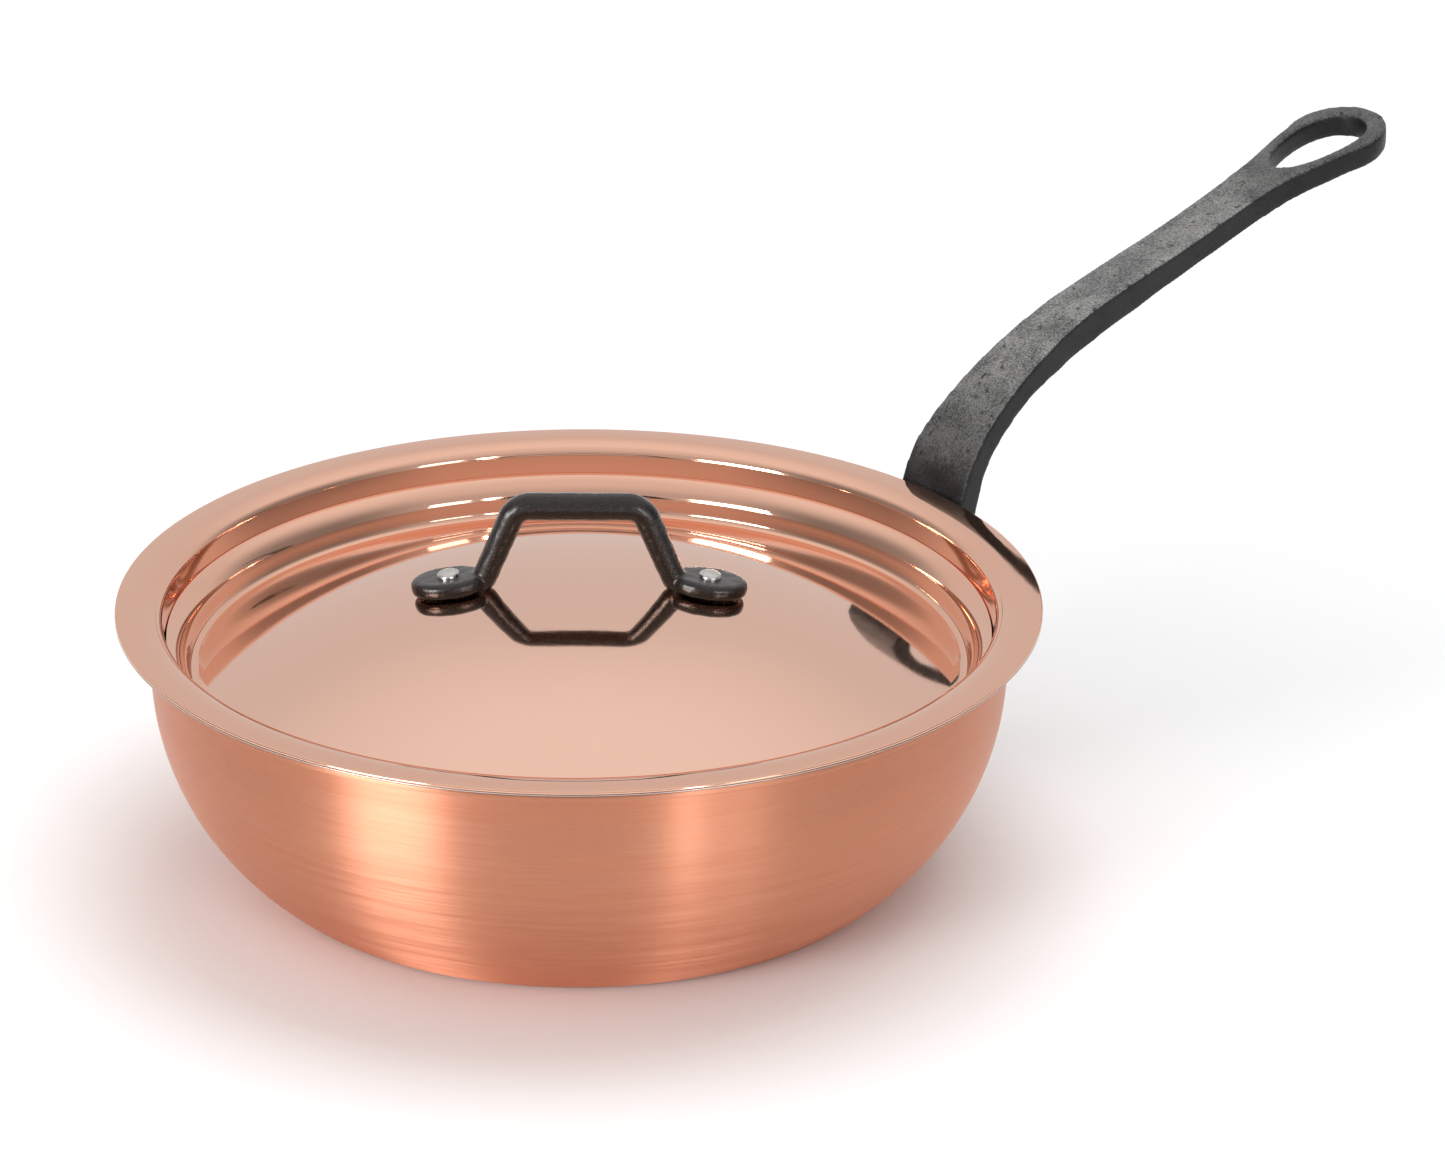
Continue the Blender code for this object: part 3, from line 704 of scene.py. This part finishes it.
class Tree:
    """A node tree and the short ways to add nodes to it."""

    def __init__(self, nodes_of):
        nodes_of.use_nodes = True
        self.nodes = nodes_of.node_tree.nodes
        self.links = nodes_of.node_tree.links

    def feed(self, socket, value):
        if isinstance(value, Value):
            self.links.new(value.socket, socket)
        else:
            socket.default_value = value

    def node(self, kind, settings=None, inputs=None, output=0):
        node = self.nodes.new(kind)
        for key, value in (settings or {}).items():
            setattr(node, key, value)
        for key, value in (inputs or {}).items():
            self.feed(node.inputs[key], value)
        return Value(self, node.outputs[output])

    def noise(self, vector, scale, detail=3.0, roughness=0.5):
        """Noise around 0.5, with cells 1 / scale metres across."""
        return self.node("ShaderNodeTexNoise", inputs={"Vector": vector, "Scale": scale, "Detail": detail,
                                                      "Roughness": roughness})

    def spread(self, value, low, high, new_low=0.0, new_high=1.0):
        """The value's range from low to high stretched smoothly to a new one."""
        return self.node("ShaderNodeMapRange", {"interpolation_type": "SMOOTHSTEP"},
                         {"Value": value, "From Min": low, "From Max": high,
                          "To Min": new_low, "To Max": new_high})

    def mix(self, share, first, second):
        """A colour between two colours."""
        node = self.nodes.new("ShaderNodeMix")
        node.data_type = "RGBA"
        for socket, value in ((node.inputs[0], share), (node.inputs[6], first), (node.inputs[7], second)):
            self.feed(socket, (*value, 1.0) if isinstance(value, tuple) and len(value) == 3 else value)
        return Value(self, node.outputs[2])

    def parts(self, vector):
        node = self.nodes.new("ShaderNodeSeparateXYZ")
        self.feed(node.inputs[0], vector)
        return [Value(self, output) for output in node.outputs]

    def vector(self, x, y, z):
        return self.node("ShaderNodeCombineXYZ", inputs={0: x, 1: y, 2: z})


class Finish(Tree):
    """A material: its tree, its shader, and where its surface is."""

    def __init__(self, name, **constants):
        self.material = bpy.data.materials.new(name)
        super().__init__(self.material)
        self.shader = self.nodes["Principled BSDF"]
        for key, value in constants.items():
            self.shader.inputs[key.replace("_", " ").title()].default_value = value
        self.place = self.node("ShaderNodeTexCoord", output="Object")

    def set(self, **inputs):
        for key, value in inputs.items():
            self.feed(self.shader.inputs[key.replace("_", " ").title()], value)

    def bump(self, height, strength, distance):
        self.set(normal=self.node("ShaderNodeBump", inputs={"Height": height, "Strength": strength,
                                                            "Distance": distance}))

    def streak_place(self, along, across, climb):
        """A place stretched around the axis, for marks that run round a turned piece, and its radius."""
        x, y, z = self.parts(self.place)
        radius = (x * x + y * y) ** 0.5
        return self.vector(x * along, y * along, (radius + z * climb) * across), radius


# %% [markdown]
# ## Copper
#
# The body is copper brushed on the lathe: fine marks run around it and blur what it reflects up and down, so
# lights turn into soft upright bands. An anisotropic gloss does that, and stretched noise varies its
# roughness and colour from mark to mark. The lid is the same metal buffed to a mirror, with only a haze of
# fine marks left in it.

# %% Copper finishes
BRUSHED = (0.66, 0.265, 0.155)
BRUSHED_PALE = (0.755, 0.345, 0.22)
POLISHED = (0.91, 0.53, 0.385)
POLISHED_PALE = (0.91, 0.575, 0.445)
PANEL_EDGE = (0.1055, 0.1075)     # radii in metres between which the dome's painted paler reflection ends

brushed_copper = Finish("brushed_copper", metallic=1.0, anisotropic=0.97, anisotropic_rotation=0.25)
broad_place, _ = brushed_copper.streak_place(along=14.0, across=420.0, climb=1.0)
fine_place, _ = brushed_copper.streak_place(along=45.0, across=2600.0, climb=1.0)
broad_marks = brushed_copper.noise(broad_place, 1.0, 4.0, 0.6)
fine_marks = brushed_copper.noise(fine_place, 1.0, 2.0, 0.6)
marks = broad_marks * 0.5 + fine_marks * 0.5
mark_share = brushed_copper.spread(marks, 0.3, 0.7)
brushed_copper.set(base_color=brushed_copper.mix(mark_share, BRUSHED, BRUSHED_PALE),
                   roughness=brushed_copper.spread(marks, 0.3, 0.7, 0.37, 0.48))
brushed_copper.bump(marks, 0.15, 0.00003)

polished_copper = Finish("polished_copper", metallic=1.0)
haze_place, lid_radius = polished_copper.streak_place(along=60.0, across=1500.0, climb=-1.0)
haze = polished_copper.noise(haze_place, 1.0, 3.0, 0.6)
# Painted reflection: inside PANEL_EDGE the dome gets a paler, less saturated copper than the steps and
# flange, so it looks brighter.
panel_share = polished_copper.spread(lid_radius, *PANEL_EDGE, 1.0, 0.0)
polished_copper.set(base_color=polished_copper.mix(panel_share, POLISHED, POLISHED_PALE),
                    roughness=polished_copper.spread(haze, 0.3, 0.7, 0.045, 0.085))
swell = polished_copper.noise(polished_copper.place, 55.0, 2.0, 0.5)
polished_copper.bump(swell, 0.12, 0.0003)
print("copper finishes:", brushed_copper.material.name, polished_copper.material.name)

# %% [markdown]
# ## Steel and iron
#
# The lining and the rivets are satin steel. The handles are oxidised cast iron: a dark, dull grey with
# a fine sand grain and darker spots. Faces that point up are painted paler, a painted top light as if lit
# from above; on the long handle it is fullest along the grip, which hands wear. The lid's handle is the same
# iron with a thin coat of baked-on oil, so it is darker and shinier.

# %% Steel and iron finishes
satin_steel = Finish("satin_steel", metallic=1.0, anisotropic=0.5, anisotropic_rotation=0.25)
steel_place, _ = satin_steel.streak_place(along=25.0, across=1800.0, climb=1.0)
steel_marks = satin_steel.noise(steel_place, 1.0, 3.0, 0.6)
satin_steel.set(base_color=satin_steel.mix(steel_marks, (0.55, 0.53, 0.50), (0.70, 0.68, 0.65)),
                roughness=satin_steel.spread(steel_marks, 0.3, 0.7, 0.24, 0.36))
satin_steel.bump(steel_marks, 0.2, 0.00003)

rivet_steel = Finish("rivet_steel", metallic=1.0)
dents = rivet_steel.noise(rivet_steel.place, 900.0, 3.0, 0.6)
rivet_steel.set(base_color=rivet_steel.mix(dents, (0.50, 0.48, 0.45), (0.78, 0.76, 0.73)),
                roughness=rivet_steel.spread(dents, 0.3, 0.7, 0.18, 0.34))
rivet_steel.bump(dents, 0.4, 0.0002)


def iron(name, dark, pale, roughness, grain_strength, coat, top_light_from=-0.2, top_light_to=0.75, held=None):
    """Dark iron with painted top light: paler where its surface faces up, as if lit from above.
    The from and to arguments are the normal's Z where the painted top light starts and where it is full.

    held is where a hand reaches along X: the start and end of the worn grip, in metres. Outside it the pale
    share, painted top light included, is dimmed.
    """
    finish = Finish(name, metallic=0.5, coat_roughness=0.25)
    facing_up = finish.parts(finish.node("ShaderNodeTexCoord", output="Normal"))[2]
    patches = finish.noise(finish.place, 90.0, 4.0, 0.6)
    grain = finish.noise(finish.place, 1500.0, 4.0, 0.75)
    pits = finish.spread(finish.noise(finish.place, 420.0, 4.0, 0.65), 0.58, 0.68)
    tone = patches * 0.3 + grain * 0.7
    # Painted top light: the pale colour's share grows as the normal points up, so top faces look lit from
    # above; the grain tone and the dark pits then vary it.
    painted_top_light = finish.spread(facing_up + (patches - 0.5) * 0.4, top_light_from, top_light_to, 0.06, 1.0)
    lit_and_grain_share = painted_top_light * (finish.spread(tone, 0.36, 0.64) * 0.85 + 0.15) * (1.0 - pits * 0.8)
    if held:
        along = finish.parts(finish.place)[0]
        begin, end = held
        lit_and_grain_share = lit_and_grain_share * finish.spread(along, begin, begin + 0.035, 0.4, 1.0)
        lit_and_grain_share = lit_and_grain_share * finish.spread(along, end, end + 0.03, 1.0, 0.5)
    finish.set(base_color=finish.mix(lit_and_grain_share, dark, pale), coat_weight=coat,
               roughness=finish.spread(grain, 0.3, 0.7, roughness - 0.08, roughness + 0.1))
    finish.bump(grain * 0.6 + patches * 0.4 - pits * 0.3, grain_strength, 0.0003)
    return finish


# Both irons get painted top light: their pale colour is painted onto the faces that point up.
cast_iron = iron("cast_iron", dark=(0.007, 0.007, 0.007), pale=(0.34, 0.335, 0.325), roughness=0.42,
                 grain_strength=0.6, coat=0.0, top_light_from=0.2, top_light_to=0.66, held=(0.13, 0.24))
oiled_iron = iron("oiled_iron", dark=(0.006, 0.004, 0.003), pale=(0.024, 0.016, 0.012), roughness=0.25,
                  grain_strength=0.5, coat=0.65)
for finish in (satin_steel, rivet_steel, cast_iron, oiled_iron):
    print("finish:", finish.material.name)

# %% [markdown]
# ## Dressing the pieces
#
# Each piece takes its finish, rides on the body it moves with, stands for its engineering solid, and says
# which material slot it belongs to.

# %% Ride, replace and finish
DRESS = [
    (body_copper, brushed_copper, "pan", ["pan_copper_shell"], "brushed_copper"),
    (body_lining, satin_steel, "pan", ["pan_steel_lining"], "satin_steel"),
    (long_handle, cast_iron, "pan", ["pan_handle"], "cast_iron"),
    (handle_rivets[0], rivet_steel, "pan", ["pan_rivet_1"], "rivet_steel"),
    (handle_rivets[1], rivet_steel, "pan", ["pan_rivet_2"], "rivet_steel"),
    (handle_rivets[2], rivet_steel, "pan", ["pan_rivet_3"], "rivet_steel"),
    (lid_copper, polished_copper, "lid", ["lid_copper_shell"], "polished_copper"),
    (lid_lining, satin_steel, "lid", ["lid_steel_lining"], "satin_steel"),
    (lid_grip, oiled_iron, "lid", ["lid_handle"], "cast_iron"),
    (lid_rivets[0], rivet_steel, "lid", ["lid_rivet_1"], "rivet_steel"),
    (lid_rivets[1], rivet_steel, "lid", ["lid_rivet_2"], "rivet_steel"),
]
for piece, finish, body, nodes, slot in DRESS:
    piece.data.materials.clear()
    piece.data.materials.append(finish.material)
    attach(piece, body)
    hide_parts(*nodes)
print(len(DRESS), "pieces dressed")

# %% [markdown]
# ## The studio
#
# Polished metal is only as good as what it reflects, so the surroundings are built with as much care as the
# pan: a table, a room and lights. The table is a wide disc of pale paper. It is pale so that the underside of
# the body's curve glows.

# %% Table
TABLE_RADIUS = 4.0            # metres

bpy.ops.object.select_all(action="DESELECT")
bpy.ops.mesh.primitive_circle_add(vertices=96, radius=TABLE_RADIUS, fill_type="NGON")
table = bpy.context.object
table.name = "table"
table_finish = Finish("table_paper", roughness=0.9)
paper_grain = table_finish.noise(table_finish.place, 3.0, 2.0)
table_finish.set(base_color=table_finish.mix(paper_grain, (0.86, 0.86, 0.86), (0.88, 0.88, 0.88)))
table.data.materials.append(table_finish.material)
print("table", 2 * TABLE_RADIUS, "m across")

# %% [markdown]
# The room is only a colour for each direction, so it has no edges for the metal to reflect. It is a soft pale
# backdrop behind the pan, darker at the sides and a little brighter overhead.

# %% Room
world = bpy.context.scene.world or bpy.data.worlds.new("room")
bpy.context.scene.world = world
room = Tree(world)
toward = room.node("ShaderNodeTexCoord", output="Generated")
away_axis = -studio_direction(0.0, 0.0)
right_axis = studio_direction(90.0, 0.0)


def facing(axis):
    """How much a direction in the room points along an axis."""
    return room.node("ShaderNodeVectorMath", {"operation": "DOT_PRODUCT"}, {0: toward, 1: axis},
                     output="Value")


away, right, up = facing(away_axis), facing(right_axis), room.parts(toward)[2]
level = 1.0 - up * up
sides = room.spread(right * right / (level + 0.02), 0.45, 0.97)
low = room.spread(up, 0.3, 0.9, 1.0, 0.0)
behind = room.spread(away, -0.35, 0.45)
glow = 0.54 + behind * 0.16
glow = glow * (1.0 - sides * low * 0.55) + room.spread(up, 0.45, 0.95) * 0.22
background = room.nodes["Background"]
room_colour = room.node("ShaderNodeCombineColor", inputs={0: glow, 1: glow, 2: glow * 1.01})
room.feed(background.inputs["Color"], room_colour)
background.inputs["Strength"].default_value = 1.0
print("room of", len(room.nodes), "nodes")

# %% [markdown]
# A broad light on the left draws one bright upright band on the body. A narrow light on the right, with a
# weaker and wider one beside it, draws the other. A fill light overhead brightens the table and the iron, and
# is hidden from reflections so that the lid doesn't show it as a hard white patch.

# %% Lights
LIGHT_AIM = Vector((0.0, 0.0, 0.05))


def soft_light(name, around, height, distance, size, power):
    """An area light that looks at the pan: angles in degrees, distance and size in metres, power in watts."""
    bpy.ops.object.select_all(action="DESELECT")
    direction = studio_direction(around, height)
    bpy.ops.object.light_add(type="AREA", location=LIGHT_AIM + direction * distance)
    light = bpy.context.object
    light.name = name
    light.rotation_euler = direction.to_track_quat("Z", "Y").to_euler()
    light.data.shape = "RECTANGLE"
    light.data.size, light.data.size_y = size
    light.data.energy = power
    return light


soft_light("broad_left", around=-46.0, height=12.0, distance=1.6, size=(0.66, 0.56), power=15.5)
soft_light("strip_right", around=27.5, height=12.0, distance=1.7, size=(0.13, 0.60), power=3.9)
soft_light("glow_right", around=41.0, height=12.0, distance=1.7, size=(0.36, 0.60), power=2.0)
fill = soft_light("fill_above", around=150.0, height=75.0, distance=1.9, size=(1.6, 1.2), power=20.0)
fill.visible_glossy = False

# %% [markdown]
# The colour view is set to Standard, which leaves bright copper as saturated as it is. A film-like view would
# grey it.

# %% Colour handling
scene = bpy.context.scene
scene.view_settings.view_transform = "Standard"
scene.view_settings.look = "None"
scene.view_settings.exposure = 0.0
print("studio ready")
